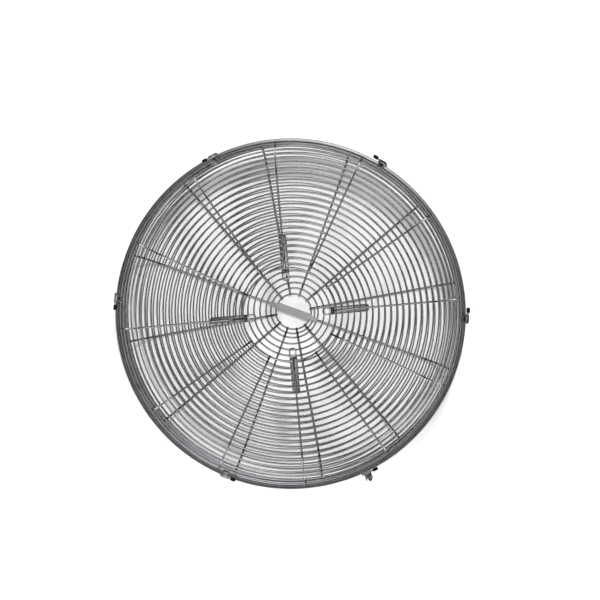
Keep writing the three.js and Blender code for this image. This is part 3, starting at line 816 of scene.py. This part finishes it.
class CAGE_OT_rear_guard(bpy.types.Operator):
    """Builds the rear guard: spiral, ring round the motor, rim rod, radials and welds"""

    bl_idname = "cage.rear_guard"
    bl_label = "Rear guard"

    def execute(self, context):
        wires = context.scene.cage_wires
        guard = rear_guard()
        end = guard.flat + guard.shoulder * rear_slope_at_rod(wires) - SPIRAL_SHORT_OF_ROD
        winding = Winding(wires.rear_start, wires.pitch, wires.rear_start_turn, end)
        spiral(guard, winding, "rear_wound_wire", "rear_spiral")
        ring(wires.rear_ring, REAR_RING_HIGH.z - wires.rear_ring_wire / 2, wires.rear_ring_wire,
             "motor_ring", "rear_centre_ring", REAR_RING_STEPS)
        rim_rod("rear", REAR_ROD_LOW, REAR_ROD_HIGH)
        rod_height = (REAR_ROD_LOW.z + REAR_ROD_HIGH.z) / 2
        end_height = rod_height + wires.rim_rod / 2 + wires.radial_wire / 4
        rise = end_height - guard.height + guard.shoulder
        bend = math.acos(rise / (guard.shoulder + radial_lift(wires)))
        first = radial_start(wires, wires.rear_ring, wires.rear_ring_wire)
        bent = np.linspace(guard.flat, guard.flat + guard.shoulder * bend, REAR_BEND_POINTS)
        distances = radial_distances(guard, first, bent)
        radials_and_welds("rear", guard, distances, winding, wires.rear_angle)
        return {"FINISHED"}


# Rolled and pressed sheet


def hoop_throat(parts):
    """Inner radius of the hoop's wall"""
    return HOOP_HIGH.x - parts.flare_run - parts.hoop_wall * math.sqrt(0.5)


class CAGE_OT_hoop(bpy.types.Operator):
    """Builds the rolled hoop with its bead and flared edge"""

    bl_idname = "cage.hoop"
    bl_label = "Rim hoop"

    def execute(self, context):
        parts = context.scene.cage_sheet_parts
        wall = parts.hoop_wall
        throat = hoop_throat(parts)
        rod_middle = REAR_ROD_HIGH.x - context.scene.cage_wires.rim_rod / 2
        bead = rod_middle - parts.bead_reach
        bead_top = FRONT_ROD_LOW.z - CLEARANCE
        bead_under = bead_top - wall
        slope_start = bead_under - wall
        inside, outside = self.both_faces(self.flare(parts, throat), wall)
        profile = [
            (throat, HOOP_LOW.z),
            (throat + wall, HOOP_LOW.z),
            (throat + wall, slope_start),
            (bead + wall, bead_under),
            (throat + wall, bead_under),
            *outside,
            *reversed(inside),
            (throat, bead_top),
            (bead, bead_top),
            (bead, bead_under),
            (throat, slope_start - wall),
        ]
        soft = [tuple(point) for point in filleted(profile, HOOP_EDGE, 2)]
        piece = make_object("rolled_hoop", *lathe(soft, HOOP_STEPS), finish(rolled_strip), HOOP_SMOOTH)
        dress(piece, "rim_hoop", "cage")
        return {"FINISHED"}

    @staticmethod
    def flare(parts, throat):
        """Inner face of the flare: a steep foot, a rounded knee and a nearly level lip"""
        lip = Vector((HOOP_HIGH.x - parts.hoop_wall * math.sin(parts.lip_slope), HOOP_HIGH.z))
        start = HOOP_HIGH.z - parts.flare_run
        knee_rise = parts.flare_run - (lip.x - throat - parts.knee_run) * math.tan(parts.lip_slope)
        knee = Vector((throat + parts.knee_run, start + knee_rise))
        return filleted([(throat, start), knee, lip], KNEE_BEND, 6, closed=False)

    @staticmethod
    def both_faces(line, wall):
        """A line that runs up and out, and the same line a wall's thickness outside and below it"""
        inside, outside = [], []
        for i, point in enumerate(line):
            along = (line[min(i + 1, len(line) - 1)] - line[max(i - 1, 0)]).normalized()
            inside.append(tuple(point))
            outside.append((point.x + along.y * wall, point.y - along.x * wall))
        return inside, outside


class CAGE_OT_straps(bpy.types.Operator):
    """Builds the motor straps with their raised, holed tabs"""

    bl_idname = "cage.straps"
    bl_label = "Motor straps"

    def execute(self, context):
        parts = context.scene.cage_sheet_parts
        wires = context.scene.cage_wires
        step = radial_start(wires, wires.rear_ring, wires.rear_ring_wire) - CLEARANCE - BEHIND_WALL
        for i in range(4):
            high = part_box(f"motor_strap_{i + 1}")[1]
            tab = high.z - parts.strap_sheet / 2
            under = tab - parts.tab_rise
            corners = [(parts.tab_end, tab), (step - parts.tab_slope, tab),
                       (step, under), (parts.strap_end, under)]
            line = self.with_ends(filleted(corners, STRAP_BEND, 6, closed=False), parts)
            widths = [self.width_at(point.x, parts) for point in line]
            part = bent_sheet(line, widths, parts.strap_sheet, STRAP_EDGE)
            piece = pressing(f"motor_strap_pressing_{i + 1}", part)
            bolt = Vector((parts.tab_hole_at, 0, tab))
            drilled(piece, parts.tab_hole / 2, bolt, Vector((0, 0, 1)), STRAP_DRILL)
            piece.data.transform(Matrix.Rotation(wires.rear_angle + i * QUARTER_TURN, 4, "Z"))
            dress(piece, f"motor_strap_{i + 1}", "cage")
        return {"FINISHED"}

    @staticmethod
    def with_ends(line, parts, steps=10, tip=0.0001, last=0.0004):
        """Adds points where the width changes: round the tab's end and at the strap's corners"""
        half = parts.strap_width / 2
        tab_height, strap_height = line[0].y, line[-1].y
        start = [
            Vector((parts.tab_end + half * (1 - math.cos(k / steps * QUARTER_TURN)), tab_height))
            for k in range(1, steps + 1)
        ]
        backs = (STRAP_CORNER, STRAP_CORNER / 2, last)
        near_end = [Vector((parts.strap_end - back, strap_height)) for back in backs]
        return [line[0] + Vector((tip, 0))] + start + line[1:-1] + near_end + [line[-1]]

    @staticmethod
    def width_at(x, parts):
        """A strap's width: round at the tab's end and with cut corners at the other"""
        half = parts.strap_width / 2
        if x < parts.tab_end + half:
            back = parts.tab_end + half - x
            return 2 * math.sqrt(max(half**2 - back**2, LEAST_HALF_SQUARED))
        corner = max(x - (parts.strap_end - STRAP_CORNER), 0)
        return parts.strap_width - 2 * corner


class CAGE_OT_badge_bar(bpy.types.Operator):
    """Builds the plain bar for a badge, with its two tongues"""

    bl_idname = "cage.badge_bar"
    bl_label = "Badge bar"

    def execute(self, context):
        parts = context.scene.cage_sheet_parts
        body, width = parts.bar_wide / 2, parts.bar_width / 2
        tongue, tip = parts.tongue_width / 2, parts.bar_length / 2
        neck = body + TONGUE_STEP
        tip_arc = half_circle(tip - tongue, tongue)
        right = [(body, -width), (neck, -tongue), *tip_arc, (neck, tongue), (body, width)]
        outline = right + [(-x, -y) for x, y in right]
        place = Matrix.Translation((0, 0, BAR_LOW.z)) @ Matrix.Rotation(parts.bar_angle, 4, "Z")
        part = moved(plate(outline, BAR_HIGH.z - BAR_LOW.z, BAR_EDGE), place)
        piece = make_object("plain_badge_bar", *part, finish(satin_bar), SHEET_SMOOTH)
        dress(piece, "badge_bar", "cage")
        return {"FINISHED"}


# Clips, each drawn in X out of the cage, Y along the hoop and Z up, with its pin at the origin


def arch_height(parts, pin):
    """Height of the arch's middle line over the pin"""
    return HOOP_HIGH.z - pin.z + parts.arch_over_flare + parts.clip_sheet / 2


def ear(parts, back):
    """An ear with a round end, standing in the X and Z plane"""
    root = back + parts.clip_sheet / 2
    outline = [(root, EAR_LOW), *half_circle(0, parts.pin / 2 + EYE_WALL), (root, EAR_HIGH)]
    return moved(plate(outline, EAR_SHEET, EAR_EDGE), turned("X"))


def rivet_head(steps=20, rows=5):
    """A low domed head about Z"""
    around = circle(steps)
    rings = []
    for tilt in np.arange(rows) / rows * QUARTER_TURN:
        radius = HEAD_RADIUS * math.cos(tilt)
        height = np.full(steps, RIVET_DOME * math.sin(tilt))
        rings.append(np.stack([radius * np.cos(around), radius * np.sin(around), height], axis=1))
    return stacked(rings)


def rolled_eye(parts, steps=28):
    """The rolled eye round the pin, open inside"""
    outer = parts.pin / 2 + EYE_WALL
    inner = parts.pin / 2 + CLEARANCE
    half = parts.hook_width / 2
    profile = [(-half, inner), (-half, outer - EYE_EDGE), (-half + EYE_EDGE, outer),
               (half - EYE_EDGE, outer), (half, outer - EYE_EDGE), (half, inner)]
    rings = [ring_round_pin(size, y, steps) for y, size in profile]
    return np.concatenate(rings), between(len(rings), steps, True)


def blade_curve(pin, top):
    """Gives the blade's middle at a distance from its root, which is on the hook's slope"""
    parts = bpy.context.scene.cage_sheet_parts
    guard = rear_guard()
    centre_x = guard.flat - math.hypot(pin.x, pin.y)
    centre_z = guard.height - guard.shoulder - pin.z
    wire = bpy.context.scene.cage_wires.spiral_wire
    reach = guard.shoulder + wire / 2 + BLADE_OVER_WIRE + parts.clip_sheet / 2
    rise = top + parts.arch_width + centre_x - centre_z
    root = QUARTER_TURN / 2 + math.asin(rise / math.sqrt(2) / reach)

    def place_at(distance):
        turn = root + distance / reach
        return Vector((centre_x + reach * math.cos(turn), centre_z + reach * math.sin(turn)))

    return place_at


class CAGE_OT_clips(bpy.types.Operator):
    """Builds the six clips: bracket, pin, sprung hook with its blade, and black grip"""

    bl_idname = "cage.clips"
    bl_label = "Clips"

    def execute(self, context):
        parts = context.scene.cage_sheet_parts
        for index in range(1, len(JOINTS) + 1):
            joint = JOINTS[f"clip_{index}"]
            pin = Vector(joint["pos_m"])
            fixed = Matrix.Translation(pin) @ Matrix.Rotation(math.atan2(pin.y, pin.x), 4, "Z")
            opening = CLIP_OPEN_ANGLE - math.radians(joint["range_deg"][1])
            swung = fixed @ Matrix.Rotation(opening, 4, "Y")
            top = arch_height(parts, pin)
            blade_at = blade_curve(pin, top)
            self.bracket(parts, index, fixed, pin)
            self.pin(parts, index, fixed)
            self.hook(parts, index, swung, pin, top, blade_at)
            self.blade(parts, index, swung, blade_at)
            self.grip(parts, index, swung, top)
        return {"FINISHED"}

    @staticmethod
    def bracket(parts, index, place, pin):
        """The plate on the hoop, with two ears round the pin and two rivets"""
        back = hoop_throat(parts) + parts.hoop_wall + BRACKET_GAP - math.hypot(pin.x, pin.y)
        outline = [(-BRACKET_HALF, -BRACKET_HALF), (BRACKET_HALF, -BRACKET_HALF),
                   (BRACKET_HALF, BRACKET_TOP), (-BRACKET_HALF, BRACKET_TOP)]
        flat = plate(filleted(outline, BRACKET_CORNER, 5), parts.clip_sheet, SHEET_EDGE)
        pieces = [moved(flat, Matrix.Translation((back, 0, 0)) @ turned("Z") @ turned("X"))]
        for side in (-1, 1):
            y = side * (parts.hook_width / 2 + CLEARANCE + EAR_SHEET / 2) + EAR_SHEET / 2
            pieces.append(moved(ear(parts, back), Matrix.Translation((0, y, 0))))
            seat = Matrix.Translation((back + parts.clip_sheet, side * RIVET_ASIDE, -RIVET_DOWN))
            pieces.append(moved(rivet_head(), seat @ turned("Y")))
        piece = pressing(f"clip_{index}_mount", moved(merge(pieces), place))
        dress(piece, f"clip_{index}_bracket", "cage")

    @staticmethod
    def pin(parts, index, place, steps=24):
        """The pin, with a head at each end and a bevel round each head"""
        half = parts.hook_width / 2 + CLEARANCE + EAR_SHEET + CLEARANCE
        head = [(half + y, HEAD_RADIUS * share) for y, share in HEAD_SHARES]
        right = [(half, parts.pin / 2), *head]
        profile = [(-y, size) for y, size in reversed(right)] + right
        part = stacked([ring_round_pin(size, y, steps) for y, size in profile])
        piece = pressing(f"clip_{index}_rivet_pin", moved(part, place))
        dress(piece, f"clip_{index}_pin", "cage")

    @staticmethod
    def hook(parts, index, place, pin, top, blade_at):
        """The arch over the flare, two catches behind the rear rod, the eye and the grip's stem"""
        sheet = parts.clip_sheet
        rod_top = REAR_ROD_HIGH.z - pin.z
        seat = rod_top + CLEARANCE + sheet / 2
        rod_inside = REAR_ROD_HIGH.x - bpy.context.scene.cage_wires.rim_rod - math.hypot(pin.x, pin.y)
        catch = rod_inside - CLEARANCE - sheet / 2 - BEHIND_WALL
        foot = -parts.arch_width - (top - seat)
        slot = blade_at(0).x - sheet
        slot_height = slot + parts.arch_width + top
        arch = [(0, ARCH_FOOT), (0, top), (-parts.arch_width, top), (slot, slot_height)]
        pieces = [bent_sheet(filleted(arch, ARCH_BEND, 5, closed=False), parts.hook_width, sheet)]
        strip = [(slot + CATCH_LAP, slot_height + CATCH_LAP), (foot, seat), (catch, seat),
                 (catch, rod_top - parts.catch_reach)]
        strip = bent_sheet(filleted(strip, CATCH_BEND, 5, closed=False), parts.catch_width, sheet)
        for side in (-1, 1):
            y = side * (parts.hook_width - parts.catch_width) / 2
            pieces.append(moved(strip, Matrix.Translation((0, y, 0))))
        pieces.append(rolled_eye(parts))
        ends = [(-parts.arch_width / 2, parts.hook_width / 2 + y, top) for y in (-STEM_LAP, STEM_REACH)]
        section = soft_rectangle(STEM_WIDTH, sheet, SHEET_EDGE)
        pieces.append(turned_over(straight_bar(section, *ends, (1.0, 0.0, 0.0), (0.0, 0.0, 1.0))))
        piece = pressing(f"clip_{index}_sprung_hook", moved(merge(pieces), place))
        dress(piece, f"clip_{index}_hook", f"clip_{index}")

    @staticmethod
    def blade(parts, index, place, blade_at, straight_points=10, tip_points=9, least_share=0.12):
        """The lanced tongue that leans on the rear guard's shoulder, with its hole"""
        round_tip = parts.blade_tip / 2
        straight = parts.blade_length - round_tip
        tip_turns = np.linspace(0, QUARTER_TURN, tip_points)[1:]
        along = np.linspace(0, straight, straight_points)
        taper = parts.blade_root + (parts.blade_tip - parts.blade_root) * along / straight
        widths = [*taper, *parts.blade_tip * np.maximum(np.cos(tip_turns), least_share)]
        line = [blade_at(distance) for distance in (*along, *straight + round_tip * np.sin(tip_turns))]
        piece = pressing(f"clip_{index}_blade", bent_sheet(line, widths, parts.clip_sheet))
        x, z = blade_at(parts.blade_hole_at)
        drilled(piece, parts.blade_hole / 2, Vector((x, 0, z)), Vector((1, 0, 0)), BLADE_DRILL)
        piece.data.transform(place)
        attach(piece, f"clip_{index}")

    @staticmethod
    def grip(parts, index, place, top):
        """The moulded grip: a soft block with rounded ends and a parting line round its middle"""
        block = soft_rectangle(parts.grip_thickness, parts.grip_height, GRIP_CORNER, 5)
        middle = parts.grip_length / 2
        profile = GRIP_END_SHARES + [(middle + y, size) for y, size in PARTING_LINE_SHARES]
        profile += [(parts.grip_length - y, size) for y, size in reversed(GRIP_END_SHARES)]
        start = parts.hook_width / 2 + STEM_REACH + CLEARANCE - parts.grip_length / 2
        height = top - GRIP_BELOW_STEM - parts.clip_sheet / 2 + parts.grip_height / 2
        centres = np.array([[-parts.arch_width / 2, start + y, height] for y, _ in profile])
        sections = np.stack([block * [size, (size + 1) / 2] for _, size in profile])
        part = sweep(centres, (1.0, 0.0, 0.0), (0.0, 0.0, 1.0), sections, False)
        part = moved(turned_over(part), place)
        piece = make_object(f"clip_{index}_moulded_grip", *part, finish(black_plastic), GRIP_SMOOTH)
        dress(piece, f"clip_{index}_grip", f"clip_{index}")


# Stage


def floor_material(stage):
    """Pale floor, white to the camera and in the metal, that shows the cage's face from below"""
    material = bpy.data.materials.new("pale_floor")
    material.use_nodes = True
    tree = material.node_tree
    tree.nodes.clear()
    path = add_node(tree, "LightPath").outputs
    mirrored = math_node(tree, "MAXIMUM", path["Is Glossy Ray"], path["Is Transmission Ray"])
    seen = math_node(tree, "MAXIMUM", path["Is Camera Ray"], mirrored)
    from_axis = add_node(tree, "VectorMath", object_point(tree), settings={"operation": "LENGTH"})
    # The floor glows less under the cage than round it: painted shade under the cage, and painted light
    # round it that washes out the cage's shadow there
    low, high = HOOP_HIGH.x + PAINTED_SHADE_EDGE_FROM, HOOP_HIGH.x + PAINTED_SHADE_EDGE_TO
    level = smooth_step(tree, from_axis.outputs["Value"], low, high,
                        To_Min=stage.glow_under, To_Max=stage.glow_round)
    glow = add_node(tree, "Emission", Strength=math_node(tree, "MULTIPLY", seen, level))
    diffuse = add_node(tree, "BsdfDiffuse", Color=stage.floor)
    top = add_node(tree, "AddShader", diffuse.outputs[0], glow.outputs[0]).outputs[0]
    below = add_node(tree, "BsdfTransparent").outputs[0]
    from_below = add_node(tree, "NewGeometry").outputs["Backfacing"]
    one_way = add_node(tree, "MixShader", from_below, top, below)
    add_node(tree, "OutputMaterial", Surface=one_way.outputs[0])
    return material


def painted_dark_reflection(steps=96):
    """A black sheet over the floor that the camera, the lamps and shadows skip and only the metal
    mirrors: a painted dark reflection
    """
    material = bpy.data.materials.new("painted_dark_reflection")
    material.use_nodes = True
    shader = material.node_tree.nodes["Principled BSDF"]
    shader.inputs["Base Color"].default_value = PAINTED_REFLECTION_BLACK
    shader.inputs["Roughness"].default_value = 1
    shader.inputs["Specular IOR Level"].default_value = 0
    vertices = [(radius * math.cos(t), radius * math.sin(t), PAINTED_REFLECTION_RISE)
                for radius in (PAINTED_REFLECTION_FROM, PAINTED_REFLECTION_TO) for t in circle(steps)]
    faces = [(j, steps + j, steps + (j + 1) % steps, (j + 1) % steps) for j in range(steps)]
    reflection_sheet = make_object("painted_dark_reflection", vertices, faces, material)
    reflection_sheet.visible_camera = False
    reflection_sheet.visible_diffuse = False
    reflection_sheet.visible_shadow = False


def sky_panel(tree, direction, toward, inner, outer, strength):
    """A soft patch of sky round one direction, for the metal to mirror"""
    dot = add_node(tree, "VectorMath", direction, Vector(toward).normalized(),
                   settings={"operation": "DOT_PRODUCT"})
    low, high = math.cos(math.radians(outer)), math.cos(math.radians(inner))
    return smooth_step(tree, dot.outputs["Value"], low, high, To_Max=strength)


def studio_world():
    """A dark room with a panel overhead, a pale horizon and a window. The camera sees it white."""
    world = bpy.data.worlds.new("studio")
    world.use_nodes = True
    bpy.context.scene.world = world
    tree = world.node_tree
    tree.nodes.clear()
    direction = add_node(tree, "TexCoord").outputs["Generated"]
    height = math_node(tree, "ABSOLUTE", add_node(tree, "SeparateXYZ", direction).outputs[2])
    horizon = smooth_step(tree, height, HORIZON_HEIGHT, HORIZON_HEIGHT / 2)
    total = ROOM_STRENGTH
    for patch in (
        sky_panel(tree, direction, **OVERHEAD_PANEL),
        math_node(tree, "MULTIPLY", horizon, HORIZON_STRENGTH),
        sky_panel(tree, direction, **WINDOW),
    ):
        total = math_node(tree, "ADD", total, patch)
    seen = add_node(tree, "LightPath").outputs["Is Camera Ray"]
    back = add_node(tree, "Background", Strength=math_node(tree, "MAXIMUM", total, seen))
    add_node(tree, "OutputWorld", Surface=back.outputs[0])


def soft_lamp(name, place, size, power):
    data = bpy.data.lights.new(name, "AREA")
    data.size = size
    data.energy = power
    lamp = bpy.data.objects.new(name, data)
    lamp.location = place
    lamp.rotation_euler = (Vector(LAMP_TARGET) - Vector(place)).to_track_quat("-Z", "Y").to_euler()
    lamp.visible_glossy = False
    bpy.context.scene.collection.objects.link(lamp)


class CAGE_OT_stage(bpy.types.Operator):
    """Sets the camera, the pale floor, the black sheet that only the metal mirrors as a painted dark
    reflection, the sky and the lamps
    """

    bl_idname = "cage.stage"
    bl_label = "Stage"

    def execute(self, context):
        stage = context.scene.cage_stage
        self.camera(context, stage)
        corners = [(x, y, 0) for x, y in rectangle(FLOOR_HALF, FLOOR_HALF)]
        floor = make_object("floor", corners, [(0, 1, 2, 3)], floor_material(stage))
        floor.location.z = -FLOOR_DROP
        studio_world()
        # A black sheet seen only in the metal's reflections: a painted dark reflection
        painted_dark_reflection()
        for name, lamp in LAMPS.items():
            soft_lamp(name, lamp["place"], lamp["size"], stage.lamp_power * lamp["share"])
        context.scene.view_settings.view_transform = "Standard"
        return {"FINISHED"}

    @staticmethod
    def camera(context, stage):
        """Looks down on the rear guard so that the hoop has the photograph's place and size"""
        toward = Vector((math.tan(stage.lean_right), math.tan(stage.lean_up), 1)).normalized()
        right = Vector((0, 1, 0)).cross(toward).normalized()
        up = toward.cross(right)
        per_pixel = 2 * HOOP_HIGH.x / stage.hoop_pixels
        middle = stage.photo_side / 2
        aside = (stage.hoop_x - middle) * per_pixel
        below = (stage.hoop_y - middle) * per_pixel
        data = bpy.data.cameras.new("camera")
        data.sensor_fit = "HORIZONTAL"
        data.lens = data.sensor_width * stage.distance / (per_pixel * stage.photo_side)
        data.clip_end = CAMERA_REACH
        camera = bpy.data.objects.new("camera", data)
        axes = Matrix((right, up, toward)).transposed().to_4x4()
        place = Vector((0, 0, HOOP_HIGH.z)) + toward * stage.distance - right * aside + up * below
        camera.matrix_world = Matrix.Translation(place) @ axes
        context.scene.collection.objects.link(camera)
        context.scene.camera = camera


class CAGE_PT_panel(bpy.types.Panel):
    """Lists the pieces of the guard cage"""

    bl_label = "Guard Cage"
    bl_idname = "CAGE_PT_panel"
    bl_space_type = "VIEW_3D"
    bl_region_type = "UI"
    bl_category = "Guard Cage"

    def draw(self, context):
        for operator in OPERATORS:
            self.layout.operator(operator.bl_idname)
        scene = context.scene
        for group in (scene.cage_wires, scene.cage_sheet_parts, scene.cage_finishes):
            column = self.layout.column(align=True)
            for name in group.bl_rna.properties.keys():
                if name not in {"rna_type", "name"}:
                    column.prop(group, name)


OPERATORS = (
    CAGE_OT_stage,
    CAGE_OT_front_guard,
    CAGE_OT_rear_guard,
    CAGE_OT_hoop,
    CAGE_OT_straps,
    CAGE_OT_badge_bar,
    CAGE_OT_clips,
)
GROUPS = {
    "cage_wires": CAGE_PG_wires,
    "cage_sheet_parts": CAGE_PG_sheet_parts,
    "cage_finishes": CAGE_PG_finishes,
    "cage_stage": CAGE_PG_stage,
}


def register():
    for group in GROUPS.values():
        bpy.utils.register_class(group)
    for operator in OPERATORS:
        bpy.utils.register_class(operator)
    bpy.utils.register_class(CAGE_PT_panel)
    for name, group in GROUPS.items():
        setattr(bpy.types.Scene, name, PointerProperty(type=group))


def unregister():
    for name in GROUPS:
        delattr(bpy.types.Scene, name)
    bpy.utils.unregister_class(CAGE_PT_panel)
    for operator in reversed(OPERATORS):
        bpy.utils.unregister_class(operator)
    for group in reversed(GROUPS.values()):
        bpy.utils.unregister_class(group)


def main():
    register()
    bpy.ops.cage.stage()
    bpy.ops.cage.front_guard()
    bpy.ops.cage.rear_guard()
    bpy.ops.cage.hoop()
    bpy.ops.cage.straps()
    bpy.ops.cage.badge_bar()
    bpy.ops.cage.clips()


if __name__ == "__main__":
    main()
